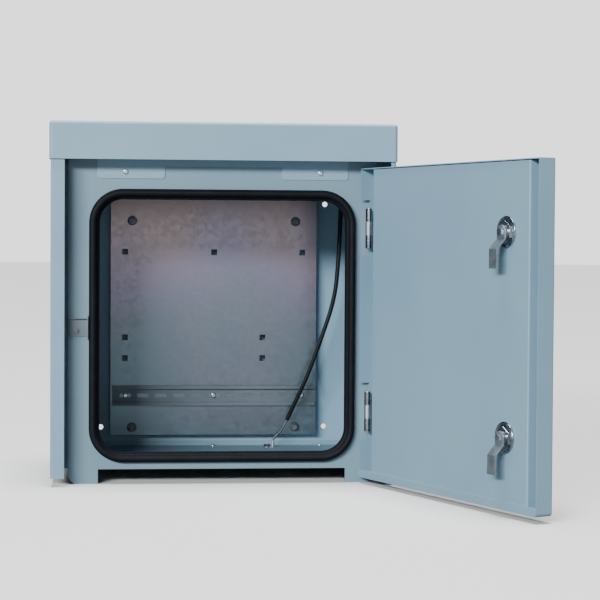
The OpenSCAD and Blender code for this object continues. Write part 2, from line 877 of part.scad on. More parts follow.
// the round collar that clamps the housing against the inner pan
module lock_collar(level) {
    color(lock_metal) on_door() translate([lock_u, 0, level]) difference() {
        union() {
            rod_y(collar_diameter, pan_face, collar_thickness - 1.5);
            rod_y(collar_diameter - 5, pan_face, collar_thickness);
        }
        rod_y(neck_diameter + 2 * running_fit, pan_face - 1, collar_thickness + 2);
    }
}

// the turning core: a recessed square drive outside, a square for the cam inside
module lock_core(level) {
    core_front = door_outer - escutcheon_height + escutcheon_lip + lock_end_play;
    color(zinc) on_door() translate([lock_u, 0, level]) difference() {
        union() {
            difference() {
                rod_y(core_diameter, core_front, cam_start - core_front);
                rod_y(key_hole, core_front - 1, key_depth + 1);
            }
            translate([-key_square / 2, core_front + 1, -key_square / 2])
                cube([key_square, key_depth, key_square]);
            translate([-core_square / 2, cam_start - e, -core_square / 2])
                cube([core_square, cam_thickness - 0.1, core_square]);
        }
        rod_y(cam_screw_shank + 0.2, cam_start - cam_screw_reach, 30);
    }
}

// the cranked cam, hanging straight down
module lock_cam(level) {
    hub = cam_width / 2;
    color(zinc) on_door() translate([lock_u, cam_start, level]) difference() {
        union() {
            rod_y(cam_width, 0, cam_thickness);
            translate([-hub, 0, -cam_length]) rotate([90, 0, 90]) linear_extrude(cam_width) cam_profile();
        }
        square_gap = core_square + 0.1;
        translate([0, cam_thickness / 2, 0]) cube([square_gap, cam_thickness + 2, square_gap], center = true);
    }
}

// the cam's side view: x into the cabinet, y up from the tip
module cam_profile() {
    t = cam_thickness;
    polygon([
        [0, cam_length], [0, cam_length - cam_hub_end],
        [cam_crank, cam_length - cam_crank_end], [cam_crank, 0],
        [cam_crank + t, 0], [cam_crank + t, cam_length - cam_crank_end + t * 0.4],
        [t, cam_length - cam_hub_end + t * 0.4], [t, cam_length]
    ]);
}

module cam_screw(level) {
    head = 12;
    head_height = 3;
    cam_back = cam_start + cam_thickness;
    color(zinc) on_door() translate([lock_u, 0, level]) {
        translate([0, cam_back, 0]) rotate([-90, 30, 0]) cylinder(d = head, h = head_height, $fn = 6);
        rod_y(cam_screw_shank, cam_back - cam_screw_reach, cam_screw_reach + e);
    }
}

// one ring of a tube's points, square to its run
function unit(v) = v / norm(v);
function run(path, i) = unit(path[min(i + 1, len(path) - 1)] - path[max(i - 1, 0)]);
function side(d) = unit(cross(d, [0, 1, 0]));
function ring(path, i, r, n) = let (d = run(path, i), a = side(d), b = cross(d, a))
    [for (k = [0:n - 1]) path[i] + r * (cos(360 * k / n) * a + sin(360 * k / n) * b)];

// a tube swept along its path's own points
module tube(path, r, n) {
    last = len(path) - 1;
    points = [for (i = [0:last]) each ring(path, i, r, n)];
    sides = [for (i = [0:last - 1], k = [0:n - 1])
        [i * n + k, i * n + (k + 1) % n, (i + 1) * n + (k + 1) % n, (i + 1) * n + k]];
    caps = [[for (k = [0:n - 1]) n - 1 - k], [for (k = [0:n - 1]) last * n + k]];
    polyhedron(points, concat(sides, caps), convexity = 4);
}

module earth_lead_sheath() {
    color(lead_black) tube(sheath_path, sheath_diameter / 2, 10);
}

module earth_lead_core() {
    color(copper) tube(core_path, core_wire / 2, 8);
}

// a ring tongue with a bent-up barrel; the ring lies at z = 0 and the barrel stands at the side
module ring_lug(reach, rise, barrel, bore) {
    ring = 12;
    difference() {
        union() {
            cylinder(d = ring, h = lug_plate);
            translate([0, -ring / 3, 0]) cube([reach, ring * 2 / 3, lug_plate]);
            translate([reach, 0, 0]) cylinder(d = barrel, h = rise);
        }
        translate([0, 0, -1]) cylinder(d = stud_hole, h = lug_plate + 2);
        translate([reach, 0, lug_plate]) cylinder(d = bore, h = rise);
    }
}

module earth_lug_upper() {
    color(zinc) translate(lead_stud) mirror([0, 0, 1])
        ring_lug(upper_lug_reach, lug_drop, upper_lug_barrel, sheath_diameter + 0.2);
}

module earth_lug_lower() {
    color(zinc) translate(floor_stud) ring_lug(lower_lug_reach, lug_rise, lower_lug_barrel, core_wire + 0.2);
}

// the two bolts that hold the lead's lugs
module earth_bolts() {
    color(zinc) {
        translate([floor_stud[0], floor_stud[1], floor_level + lug_plate]) earth_bolt();
        translate([lead_stud[0], lead_stud[1], top_level - lug_plate]) mirror([0, 0, 1]) earth_bolt();
    }
}

module earth_bolt() {
    cylinder(d = bolt_head_across / cos(30), h = bolt_head_height, $fn = 6);
    translate([0, 0, -bolt_length]) cylinder(d = stud_hole - 0.4, h = bolt_length + e);
}

body_shell();
front_frame();
base_floor();
floor_screws();
gland_plate();
gland_plate_screws();
top_panel();
canopy();
canopy_fixing_strip();
canopy_screws();
opening_gasket();
mounting_plate();
plate_studs();
plate_spacers();
plate_nuts();
din_rail();
din_rail_screws();
centre_bracket();
centre_bracket_rivet();
hinge_frame_leaf(hinge_levels[0]);  // hinge_frame_leaf_upper
hinge_frame_leaf(hinge_levels[1]);  // hinge_frame_leaf_lower
hinge_pin(hinge_levels[0]);  // hinge_pin_upper
hinge_pin(hinge_levels[1]);  // hinge_pin_lower
hinge_frame_screws();
hinge_door_leaf(hinge_levels[0]);  // hinge_door_leaf_upper
hinge_door_leaf(hinge_levels[1]);  // hinge_door_leaf_lower
hinge_door_screws();
door_skin();
door_inner_pan();
lock_housing(lock_levels[0]);  // lock_housing_upper
lock_housing(lock_levels[1]);  // lock_housing_lower
lock_collar(lock_levels[0]);  // lock_collar_upper
lock_collar(lock_levels[1]);  // lock_collar_lower
lock_core(lock_levels[0]);  // lock_core_upper
lock_core(lock_levels[1]);  // lock_core_lower
lock_cam(lock_levels[0]);  // lock_cam_upper
lock_cam(lock_levels[1]);  // lock_cam_lower
cam_screw(lock_levels[0]);  // cam_screw_upper
cam_screw(lock_levels[1]);  // cam_screw_lower
earth_lead_sheath();
earth_lead_core();
earth_lug_upper();
earth_lug_lower();
earth_bolts();
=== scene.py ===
import json
import math
import bmesh
import bpy
from mathutils import Matrix, Vector


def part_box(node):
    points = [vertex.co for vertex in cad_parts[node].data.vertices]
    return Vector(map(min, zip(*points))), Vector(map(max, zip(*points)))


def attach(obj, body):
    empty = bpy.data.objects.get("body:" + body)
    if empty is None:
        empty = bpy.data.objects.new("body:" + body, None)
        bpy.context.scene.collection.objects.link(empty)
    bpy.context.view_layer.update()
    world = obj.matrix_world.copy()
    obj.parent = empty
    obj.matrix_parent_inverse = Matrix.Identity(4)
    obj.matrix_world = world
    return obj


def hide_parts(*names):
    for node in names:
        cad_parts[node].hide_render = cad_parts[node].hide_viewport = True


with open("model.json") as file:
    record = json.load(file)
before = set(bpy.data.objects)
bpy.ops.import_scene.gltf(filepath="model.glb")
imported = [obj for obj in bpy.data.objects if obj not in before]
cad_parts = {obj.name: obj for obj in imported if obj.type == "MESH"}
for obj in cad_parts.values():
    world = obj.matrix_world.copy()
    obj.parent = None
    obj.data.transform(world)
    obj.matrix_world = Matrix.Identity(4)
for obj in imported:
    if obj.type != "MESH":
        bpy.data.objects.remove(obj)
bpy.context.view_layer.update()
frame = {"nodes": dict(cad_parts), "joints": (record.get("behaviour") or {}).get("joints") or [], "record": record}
mm = 0.001
bodyOf = {n: body for body, names in frame["record"]["behaviour"]["bodies"].items() for n in names}
doorHinge = next(joint for joint in frame["joints"] if joint["name"] == "door_hinge")

# the door's own coordinates: x along the door, y into the cabinet, measured from the hinge axis when closed
hingeAt = Vector((doorHinge["pos_m"][0], doorHinge["pos_m"][1], 0))
openAngle = -math.radians(doorHinge["range_deg"][0])
doorTurn = Matrix.Translation(hingeAt) @ Matrix.Rotation(openAngle, 4, "Z")
print("frame loaded")


# camera: yaw about the upright, pitch up or down and roll about the line of sight, in degrees

cameraValues = {
    "place": (-0.1723, -3.130, 0.3916), "yaw": 5.66, "pitch": -1.80, "roll": 0.35,
    "lens": 111.66, "sensor": 36, "nearest": 0.05, "furthest": 60,
}


def addCamera(values):
    yaw, pitch, roll = (math.radians(values[name]) for name in ("yaw", "pitch", "roll"))
    ahead = Vector((math.sin(yaw) * math.cos(pitch), math.cos(yaw) * math.cos(pitch), math.sin(pitch)))
    right = Vector((math.cos(yaw), -math.sin(yaw), 0))
    up = right.cross(ahead)
    across = right * math.cos(roll) + up * math.sin(roll)
    above = up * math.cos(roll) - right * math.sin(roll)
    data = bpy.data.cameras.new("camera")
    data.sensor_width = values["sensor"]
    data.lens = values["lens"]
    data.clip_start, data.clip_end = values["nearest"], values["furthest"]
    camera = bpy.data.objects.new("camera", data)
    turn = Matrix((across, above, -ahead)).transposed().to_4x4()
    camera.matrix_world = Matrix.Translation(values["place"]) @ turn
    bpy.context.scene.collection.objects.link(camera)
    bpy.context.scene.camera = camera


addCamera(cameraValues)


# material helpers


def linearColour(hexText):
    parts = [int(hexText[i:i + 2], 16) / 255 for i in (1, 3, 5)]
    return [c / 12.92 if c <= 0.04045 else ((c + 0.055) / 1.055) ** 2.4 for c in parts] + [1.0]


# a socket goes by its name, or by its number where a node has several of one name, and stops fill a ramp
def addNode(tree, kind, settings=None, links=None):
    node = tree.nodes.new(kind)
    for name, value in (settings or {}).items():
        if name == "stops":
            for _ in value[2:]:
                node.color_ramp.elements.new(0.5)
            for element, (place, colour) in zip(node.color_ramp.elements, value):
                element.position = place
                element.color = linearColour(colour) if isinstance(colour, str) else (colour,) * 3 + (1,)
        elif isinstance(name, int) or name in node.inputs:
            node.inputs[name].default_value = value
        else:
            setattr(node, name, value)
    for name, source in (links or {}).items():
        tree.links.new(source, node.inputs[name])
    return node


def startMaterial(name):
    material = bpy.data.materials.new(name)
    material.use_nodes = True
    tree = material.node_tree
    shader = next(n for n in tree.nodes if n.type == "BSDF_PRINCIPLED")
    coords = addNode(tree, "ShaderNodeTexCoord").outputs["Object"]
    return material, tree, shader, coords


def linkShader(tree, shader, tint, dull, bump):
    tree.links.new(tint, shader.inputs["Base Color"])
    tree.links.new(dull, shader.inputs["Roughness"])
    tree.links.new(bump, shader.inputs["Normal"])


# polyester powder coat, sprayed and baked: an even satin film with a faint orange peel
coatValues = {
    "cloud": 260 * mm, "film": 90 * mm, "glossSpread": 0.07, "ior": 1.5,
    "peel": 2.2 * mm,  # real peel is about 1 mm, drawn coarser so that it shows
    "peelDepth": 0.15 * mm, "peelStrength": 0.10,
}


def powderCoat(name, light, deep, gloss):
    values = coatValues
    material, tree, shader, coords = startMaterial(name)
    noise = {"Scale": 1 / values["cloud"], "Detail": 3}
    cloud = addNode(tree, "ShaderNodeTexNoise", noise, {"Vector": coords}).outputs["Fac"]
    stops = [(0.38, deep), (0.62, light)]
    tint = addNode(tree, "ShaderNodeValToRGB", {"stops": stops}, {"Fac": cloud}).outputs["Color"]
    noise = {"Scale": 1 / values["film"], "Detail": 2}
    film = addNode(tree, "ShaderNodeTexNoise", noise, {"Vector": coords}).outputs["Fac"]
    stops = [(0.3, gloss), (0.7, gloss + values["glossSpread"])]
    dull = addNode(tree, "ShaderNodeValToRGB", {"stops": stops}, {"Fac": film}).outputs["Color"]
    noise = {"Scale": 1 / values["peel"], "Detail": 1}
    peel = addNode(tree, "ShaderNodeTexNoise", noise, {"Vector": coords}).outputs["Fac"]
    relief = {"Strength": values["peelStrength"], "Distance": values["peelDepth"]}
    bump = addNode(tree, "ShaderNodeBump", relief, {"Height": peel}).outputs["Normal"]
    linkShader(tree, shader, tint, dull, bump)
    shader.inputs["IOR"].default_value = values["ior"]
    return material


# galvanised sheet: a fine spangle under a passivation film, whose tint drifts up the sheet and in clouds
galvanValues = {
    "metal": 0.95, "heightShare": 0.7, "spangle": 7 * mm, "spangleDark": 0.93, "glossSpread": 0.06,
    "grain": 1.6 * mm, "grainDepth": 0.1 * mm, "grainStrength": 0.12,
}


def galvanisedSheet(name, tints, gloss, top, stain):
    values = galvanValues
    material, tree, shader, coords = startMaterial(name)
    level = addNode(tree, "ShaderNodeSeparateXYZ", {}, {"Vector": coords}).outputs["Z"]
    spread = {"From Max": top, "To Min": 0.0, "To Max": values["heightShare"]}
    rise = addNode(tree, "ShaderNodeMapRange", spread, {"Value": level}).outputs["Result"]
    noise = {"Scale": 1 / stain, "Detail": 1}
    patch = addNode(tree, "ShaderNodeTexNoise", noise, {"Vector": coords}).outputs["Fac"]
    spread = {"From Min": 0.3, "From Max": 0.7, "To Max": 1 - values["heightShare"]}
    cloud = addNode(tree, "ShaderNodeMapRange", spread, {"Value": patch}).outputs["Result"]
    both = addNode(tree, "ShaderNodeMath", {"operation": "ADD"}, {0: rise, 1: cloud}).outputs[0]
    tint = addNode(tree, "ShaderNodeValToRGB", {"stops": tints}, {"Fac": both}).outputs["Color"]
    cells = addNode(tree, "ShaderNodeTexVoronoi", {"Scale": 1 / values["spangle"]}, {"Vector": coords})
    flake = addNode(tree, "ShaderNodeSeparateColor", {}, {"Color": cells.outputs["Color"]}).outputs["Red"]
    stops = [(0.0, values["spangleDark"]), (1.0, 1.0)]
    shine = addNode(tree, "ShaderNodeValToRGB", {"stops": stops}, {"Fac": flake}).outputs["Color"]
    mixing = {"data_type": "RGBA", "blend_type": "MULTIPLY", "Factor": 1.0}
    spangled = addNode(tree, "ShaderNodeMix", mixing, {6: tint, 7: shine}).outputs[2]
    stops = [(0.0, gloss), (1.0, gloss + values["glossSpread"])]
    dull = addNode(tree, "ShaderNodeValToRGB", {"stops": stops}, {"Fac": flake}).outputs["Color"]
    noise = {"Scale": 1 / values["grain"], "Detail": 2}
    grain = addNode(tree, "ShaderNodeTexNoise", noise, {"Vector": coords}).outputs["Fac"]
    relief = {"Strength": values["grainStrength"], "Distance": values["grainDepth"]}
    bump = addNode(tree, "ShaderNodeBump", relief, {"Height": grain}).outputs["Normal"]
    linkShader(tree, shader, spangled, dull, bump)
    shader.inputs["Metallic"].default_value = values["metal"]
    return material


# zinc plate on pressed steel or on a die-casting: a clean metal with light handling marks
plateValues = {
    "cloud": 14 * mm, "glossSpread": 0.16, "markRoughness": 0.6, "markDepth": 0.08 * mm, "markStrength": 0.08,
}


def platedMetal(name, light, deep, gloss, markSize):
    values = plateValues
    material, tree, shader, coords = startMaterial(name)
    noise = {"Scale": 1 / values["cloud"], "Detail": 2}
    cloud = addNode(tree, "ShaderNodeTexNoise", noise, {"Vector": coords}).outputs["Fac"]
    stops = [(0.35, deep), (0.65, light)]
    tint = addNode(tree, "ShaderNodeValToRGB", {"stops": stops}, {"Fac": cloud}).outputs["Color"]
    noise = {"Scale": 1 / markSize, "Detail": 3, "Roughness": values["markRoughness"]}
    marks = addNode(tree, "ShaderNodeTexNoise", noise, {"Vector": coords}).outputs["Fac"]
    stops = [(0.3, gloss), (0.75, gloss + values["glossSpread"])]
    dull = addNode(tree, "ShaderNodeValToRGB", {"stops": stops}, {"Fac": marks}).outputs["Color"]
    relief = {"Strength": values["markStrength"], "Distance": values["markDepth"]}
    bump = addNode(tree, "ShaderNodeBump", relief, {"Height": marks}).outputs["Normal"]
    linkShader(tree, shader, tint, dull, bump)
    shader.inputs["Metallic"].default_value = 1.0
    return material


# EPDM edge trim or PVC sheath, extruded: near-black, smooth along its run, with a soft sheen
rubberValues = {"cloud": 22 * mm, "glossSpread": 0.1, "grainDepth": 0.1 * mm, "grainStrength": 0.1}


def extrudedRubber(name, light, deep, gloss, sheen, grainSize):
    values = rubberValues
    material, tree, shader, coords = startMaterial(name)
    noise = {"Scale": 1 / values["cloud"], "Detail": 3}
    cloud = addNode(tree, "ShaderNodeTexNoise", noise, {"Vector": coords}).outputs["Fac"]
    stops = [(0.35, deep), (0.7, light)]
    tint = addNode(tree, "ShaderNodeValToRGB", {"stops": stops}, {"Fac": cloud}).outputs["Color"]
    noise = {"Scale": 1 / grainSize, "Detail": 2}
    grain = addNode(tree, "ShaderNodeTexNoise", noise, {"Vector": coords}).outputs["Fac"]
    stops = [(0.3, gloss), (0.7, gloss + values["glossSpread"])]
    dull = addNode(tree, "ShaderNodeValToRGB", {"stops": stops}, {"Fac": grain}).outputs["Color"]
    relief = {"Strength": values["grainStrength"], "Distance": values["grainDepth"]}
    bump = addNode(tree, "ShaderNodeBump", relief, {"Height": grain}).outputs["Normal"]
    linkShader(tree, shader, tint, dull, bump)
    shader.inputs["Specular IOR Level"].default_value = sheen
    return material


# tinned copper strands, twisted: fine slanting grooves of dull grey, with painted shade darkening each groove
strandValues = {"lay": 2.4 * mm, "slant": (0.5, 0.4, 0), "depth": 0.2 * mm, "strength": 0.5, "gloss": 0.45}


def strandedCopper(name, light, deep):
    values = strandValues
    material, tree, shader, coords = startMaterial(name)
    slant = {"Rotation": values["slant"]}
    turned = addNode(tree, "ShaderNodeMapping", slant, {"Vector": coords}).outputs["Vector"]
    waves = {"Scale": 1 / values["lay"], "wave_profile": "SIN", "bands_direction": "Z"}
    twist = addNode(tree, "ShaderNodeTexWave", waves, {"Vector": turned}).outputs["Fac"]
    # the dark stop sits in the grooves between strands: painted shade
    stops = [(0.2, deep), (0.8, light)]
    tint = addNode(tree, "ShaderNodeValToRGB", {"stops": stops}, {"Fac": twist}).outputs["Color"]
    relief = {"Strength": values["strength"], "Distance": values["depth"]}
    bump = addNode(tree, "ShaderNodeBump", relief, {"Height": twist}).outputs["Normal"]
    tree.links.new(tint, shader.inputs["Base Color"])
    tree.links.new(bump, shader.inputs["Normal"])
    shader.inputs["Metallic"].default_value = 1.0
    shader.inputs["Roughness"].default_value = values["gloss"]
    return material


outerCoat = powderCoat("powderCoatOuter", "#86a8bc", "#80a3b8", 0.40)
# the same powder coat drawn darker and greyer, as painted shade for the recessed frame, the floor and the top
# panel
coatDarkenedForShade = powderCoat("powderCoatDarkenedForShade", "#7897a8", "#7392a4", 0.46)
plateTints = [(0.15, "#6d8a97"), (0.4, "#788592"), (0.62, "#8a879c"), (0.85, "#988c8f")]
railTints = [(0.2, "#64727b"), (0.7, "#7c8892")]
plateZinc = galvanisedSheet("galvanisedPlate", plateTints, 0.30, 0.47, 200 * mm)
railZinc = galvanisedSheet("galvanisedRail", railTints, 0.50, 0.6, 110 * mm)
brightZinc = platedMetal("brightZincPlate", "#d5dade", "#b9c2ca", 0.20, 3 * mm)
satinZinc = platedMetal("satinZincPlate", "#b4c0c9", "#98a5af", 0.46, 3 * mm)
dullZinc = platedMetal("dullZincPlate", "#6d7378", "#4e5358", 0.34, 3 * mm)
castMetal = platedMetal("platedDieCasting", "#b9c1c8", "#8f9aa4", 0.16, 4 * mm)
trimRubber = extrudedRubber("epdmTrim", "#0d121b", "#070a10", 0.6, 0.2, 3 * mm)
sheathPlastic = extrudedRubber("pvcSheath", "#0c1116", "#06090d", 0.3, 0.35, 2 * mm)
# the darker of the two strand colours is painted shade in the grooves
coreCopper = strandedCopper("tinnedCopperStrands", "#7e898f", "#4c555a")
print("materials made")


# modelling helpers


def deselectAll():
    bpy.ops.object.select_all(action="DESELECT")


def focusOn(piece):
    deselectAll()
    piece.select_set(True)
    bpy.context.view_layer.objects.active = piece


def startEdit(piece):
    focusOn(piece)
    bpy.ops.object.mode_set(mode="EDIT")


def endEdit():
    bpy.ops.object.mode_set(mode="OBJECT")


def pickFaces(piece, test):
    bpy.ops.mesh.select_mode(type="FACE")
    bpy.ops.mesh.select_all(action="DESELECT")
    mesh = bmesh.from_edit_mesh(piece.data)
    for face in mesh.faces:
        face.select_set(test(face.normal))
    bmesh.update_edit_mesh(piece.data)


def pickEdges(piece, test):
    bpy.ops.mesh.select_mode(type="EDGE")
    bpy.ops.mesh.select_all(action="DESELECT")
    mesh = bmesh.from_edit_mesh(piece.data)
    for edge in mesh.edges:
        if test(edge.verts[0].co, edge.verts[1].co):
            edge.select_set(True)
    bmesh.update_edit_mesh(piece.data)


straight = 0.99  # a face looks along an axis when that axis has more than this share of its normal


def near(a, b, reach=0.05 * mm):
    return abs(a - b) < reach


# whether both ends of an edge lie at one level of an axis
def bothAt(a, b, axis, level):
    return near(getattr(a, axis), level) and near(getattr(b, axis), level)


def addBlock(name, low, high):
    deselectAll()
    low, high = Vector(low), Vector(high)
    bpy.ops.mesh.primitive_cube_add(size=1, location=(low + high) / 2, scale=high - low)
    piece = bpy.context.object
    piece.name = name
    bpy.ops.object.transform_apply(location=True, rotation=True, scale=True)
    return piece


# standing up along z from the origin
def addDisc(name, radius, height, sides=32):
    deselectAll()
    middle = (0, 0, height / 2)
    bpy.ops.mesh.primitive_cylinder_add(vertices=sides, radius=radius, depth=height, location=middle)
    piece = bpy.context.object
    piece.name = name
    bpy.ops.object.transform_apply(location=True, rotation=True, scale=True)
    return piece


# rounds the edges round a disc's top
def roundTop(piece, height, offset, segments):
    startEdit(piece)
    pickEdges(piece, lambda a, b: bothAt(a, b, "z", height))
    bpy.ops.mesh.bevel(offset=offset, segments=segments, affect="EDGES")
    endEdit()


def hexagonRadius(across):
    return across / 2 / math.cos(math.pi / 6)


def applyModifier(piece, kind, **settings):
    focusOn(piece)
    modifier = piece.modifiers.new(kind.lower(), kind)
    for name, value in settings.items():
        setattr(modifier, name, value)
    bpy.ops.object.modifier_apply(modifier=modifier.name)


# opens the faces that the test picks and gives the rest the sheet's thickness, inwards
def makeSheet(piece, thickness, test):
    startEdit(piece)
    pickFaces(piece, test)
    bpy.ops.mesh.delete(type="FACE")
    endEdit()
    applyModifier(piece, "SOLIDIFY", thickness=thickness, offset=-1, use_even_offset=True)


def cutAway(piece, cutter):
    applyModifier(piece, "BOOLEAN", object=cutter, operation="DIFFERENCE", solver="EXACT")
    bpy.data.objects.remove(cutter)


# what repeats is a copy with its own mesh, which is turned and placed in the mesh itself
def copyOf(model, name, matrix):
    piece = bpy.data.objects.new(name, model.data.copy())
    bpy.context.scene.collection.objects.link(piece)
    piece.data.transform(matrix)
    return piece


def joinPieces(name, pieces):
    deselectAll()
    for piece in pieces:
        piece.select_set(True)
    bpy.context.view_layer.objects.active = pieces[0]
    bpy.ops.object.join()
    pieces[0].name = name
    return pieces[0]


# weighted normals keep a flat face flat beside its rounded edge
def finishPiece(piece, material, node, angle=32, flatWeight=80):
    focusOn(piece)
    bpy.ops.object.shade_smooth_by_angle(angle=math.radians(angle))
    applyModifier(piece, "WEIGHTED_NORMAL", keep_sharp=True, weight=flatWeight)
    piece.data.materials.clear()
    piece.data.materials.append(material)
    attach(piece, bodyOf[node])
    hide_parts(node)


softValues = {"merge": 0.001 * mm, "flat": 0.5, "sharp": 40, "segments": 2}  # flat and sharp in degrees


# a CAD node's shape with its edges broken, as a tumbled or plated part has them
def softenedCopy(node, name, width, material, values=softValues):
    piece = copyOf(frame["nodes"][node], name, Matrix.Identity(4))
    startEdit(piece)
    bpy.ops.mesh.select_all(action="SELECT")
    bpy.ops.mesh.remove_doubles(threshold=values["merge"])
    bpy.ops.mesh.customdata_custom_splitnormals_clear()
    bpy.ops.mesh.dissolve_limited(angle_limit=math.radians(values["flat"]))
    endEdit()
    applyModifier(piece, "BEVEL", width=width, segments=values["segments"], limit_method="ANGLE",
                  angle_limit=math.radians(values["sharp"]))
    finishPiece(piece, material, node)


def boxOf(points):
    low = Vector([min(p[i] for p in points) for i in range(3)])
    high = Vector([max(p[i] for p in points) for i in range(3)])
    return low, high


# a CAD node's box in the door's coordinates
def doorBox(node):
    back = doorTurn.inverted()
    return boxOf([back @ vertex.co for vertex in frame["nodes"][node].data.vertices])


# the box of each loose solid in a CAD node, in the coordinates that turn stands for
def solidBoxes(node, turn=Matrix.Identity(4)):
    mesh = bmesh.new()
    mesh.from_mesh(frame["nodes"][node].data)
    bmesh.ops.remove_doubles(mesh, verts=mesh.verts, dist=softValues["merge"])
    back = turn.inverted()
    seen, boxes = set(), []
    for start in mesh.verts:
        if start.index in seen:
            continue
        seen.add(start.index)
        queue, points = [start], []
        while queue:
            vertex = queue.pop()
            points.append(back @ vertex.co)
            for edge in vertex.link_edges:
                other = edge.other_vert(vertex)
                if other.index not in seen:
                    seen.add(other.index)
                    queue.append(other)
        boxes.append(boxOf(points))
    mesh.free()
    return boxes


# earth lead: the routes are in millimetres, from the upper lug downwards

leadValues = {
    "sheathDiameter": 7.5 * mm,
    "coreDiameter": 3.5 * mm,
    "sheathLength": 0.467,
    "steps": 6,  # round the lead, and from one point of its route to the next
    "sheathRoute": [
        (219, 92, 524), (219, 92, 505), (218.6, 92, 486), (218, 92, 467), (217.4, 92, 448), (216.8, 92, 429),
        (216.2, 92, 410), (215.4, 92, 391), (214.4, 92.5, 372), (213.2, 93, 353), (211.8, 93.5, 334),
        (210, 94, 315), (207, 95, 296), (202.6, 96, 277), (197, 97, 258), (190.8, 98.5, 239),
        (184.4, 100, 220), (178, 102, 201), (171.4, 104, 182), (164.4, 106.5, 163), (156.8, 109, 144),
        (148.6, 112, 125), (141, 115, 108), (134, 118, 92), (128, 121, 78),
    ],
    "coreRoute": [
        (128, 121, 78), (123.5, 123.25, 67.5), (117, 126.4, 57.5), (110, 129.4, 49), (104.4, 130.8, 42),
    ],
}


def addLead(name, route, diameter, steps, material, node):
    data = bpy.data.curves.new(name, "CURVE")
    data.dimensions = "3D"
    data.bevel_depth = diameter / 2
    data.bevel_resolution = data.resolution_u = steps
    data.use_fill_caps = True
    spline = data.splines.new("BEZIER")
    spline.bezier_points.add(len(route) - 1)
    for point, place in zip(spline.bezier_points, route):
        point.co = Vector(place) * mm
        point.handle_left_type = point.handle_right_type = "AUTO"
    lead = bpy.data.objects.new(name, data)
    bpy.context.scene.collection.objects.link(lead)
    data.materials.append(material)
    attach(lead, bodyOf[node])
    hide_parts(node)
    return lead


def addEarthLead(values):
    steps = values["steps"]
    sheath = addLead("earthLeadSheath", values["sheathRoute"], values["sheathDiameter"], steps,
                     sheathPlastic, "earth_lead_sheath")
    core = addLead("earthLeadCore", values["coreRoute"], values["coreDiameter"], steps,
                   coreCopper, "earth_lead_core")


addEarthLead(leadValues)
print("earth lead made")


# canopy roof: its back top edge is lowered, so that rain runs off backwards

canopyValues = {"sheet": 1.5 * mm, "radius": 5 * mm, "segments": 5, "fall": 10 * mm}


def addCanopy(values):
    low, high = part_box("canopy")
    canopy = addBlock("canopyShell", low, high)
    startEdit(canopy)
    pickEdges(canopy, lambda a, b: bothAt(a, b, "y", high.y) and bothAt(a, b, "z", high.z))
    bpy.ops.transform.translate(value=(0, 0, -values["fall"]))
    pickEdges(canopy, lambda a, b: max(a.z, b.z) > high.z - values["fall"] - mm)  # all but the open lower rim
    bpy.ops.mesh.bevel(offset=values["radius"], segments=values["segments"], affect="EDGES")
    endEdit()
    makeSheet(canopy, values["sheet"], lambda normal: normal.z < -straight)
    finishPiece(canopy, outerCoat, "canopy")


addCanopy(canopyValues)
print("canopy made")


# rubber trim round the opening

trimValues = {
    "openingWidth": 404 * mm, "openingHeight": 414 * mm, "cornerRadius": 42 * mm, "cornerSteps": 14,
    "nose": 4 * mm, "cover": 13 * mm, "backCover": 9 * mm, "wall": 2.8 * mm, "frameSheet": 2 * mm,
    "soft": 0.9 * mm, "ease": 0.4 * mm, "ridge": (1.5 * mm, 2.3 * mm, 3.1 * mm), "ridgeDepth": 0.5 * mm,
    "bulbRadius": 5.5 * mm, "bulbFront": 13.5 * mm, "bulbFrom": 215, "bulbTurn": 250, "bulbSteps": 14,
    "rim": ((-0.6 * mm, 0.9), (0, 0.55), (0, 0)),  # past the cover's edge, and as a share of the wall
    "merge": 0.02 * mm,
}


# the trim's section as (outwards from the opening's edge, in front of the frame's face)
def trimSection(values):
    nose, cover, back, wall = (values[name] for name in ("nose", "cover", "backCover", "wall"))
    sheet, soft, ease, bulb = (values[name] for name in ("frameSheet", "soft", "ease", "bulbRadius"))
    behind = -sheet - wall
    points = [(0, 0), (0, -sheet), (back, -sheet), (back + soft, -sheet - soft), (back - mm, behind)]
    points += [(4 * ease - nose, behind), (ease - nose, behind + soft), (-nose, -sheet), (-nose, 0)]
    ridgeLevels = (wall, wall - values["ridgeDepth"], wall)  # a moulded ridge beside the nose
    points += [(ease - nose, wall - soft)]
    points += [(place - nose, level) for place, level in zip(values["ridge"], ridgeLevels)]
    for step in range(values["bulbSteps"] + 1):
        angle = math.radians(values["bulbFrom"] - values["bulbTurn"] * step / values["bulbSteps"])
        out, ahead = bulb * math.cos(angle), bulb * math.sin(angle)
        points.append((cover / 2 + out, values["bulbFront"] - bulb + ahead))
    return points + [(cover + past, wall * share) for past, share in values["rim"]]


